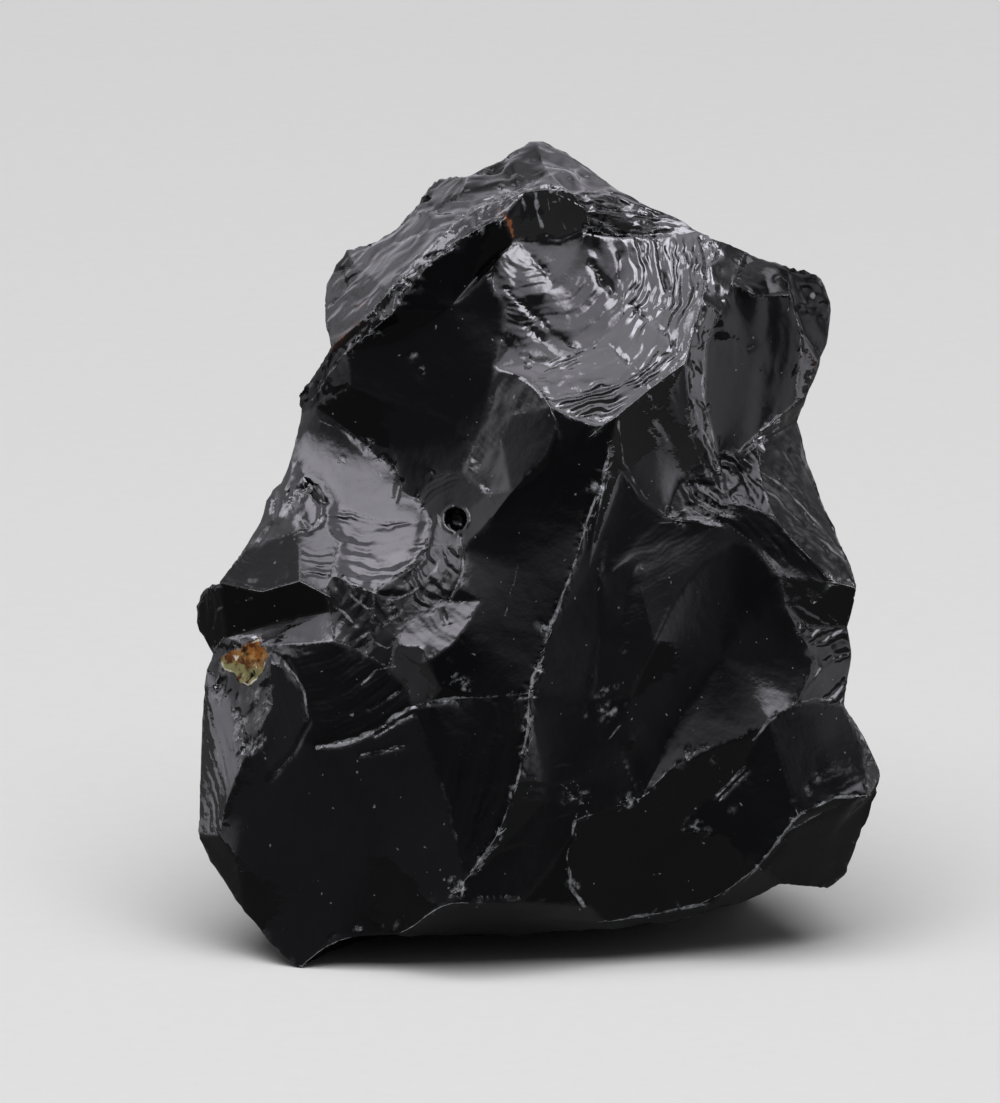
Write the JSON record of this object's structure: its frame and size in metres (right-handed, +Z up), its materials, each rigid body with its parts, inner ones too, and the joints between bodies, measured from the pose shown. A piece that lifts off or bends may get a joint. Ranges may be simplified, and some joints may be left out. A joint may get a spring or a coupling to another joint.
{
  "type": "andara crystal",
  "caption": "Lump of black volcanic glass with curved fracture scars, sharp chipped ridges, a small gas bubble and an ochre mineral patch, standing on a broken flat underside.",
  "frame": {"origin": "bottom centre of the stone's bounding box", "axes": "+Z up from the surface the stone stands on, +X to the right as the worn front is faced, -Y out of the front"},
  "size_m": [0.0342, 0.028, 0.0389],
  "materials": {
    "volcanic_glass": "natural fracture, glassy and near black, opaque at this thickness, with fine ripples and pale bruised ridges"
  },
  "bodies": {
    "root": {"crystal": "volcanic_glass"}
  },
  "joints": []
}
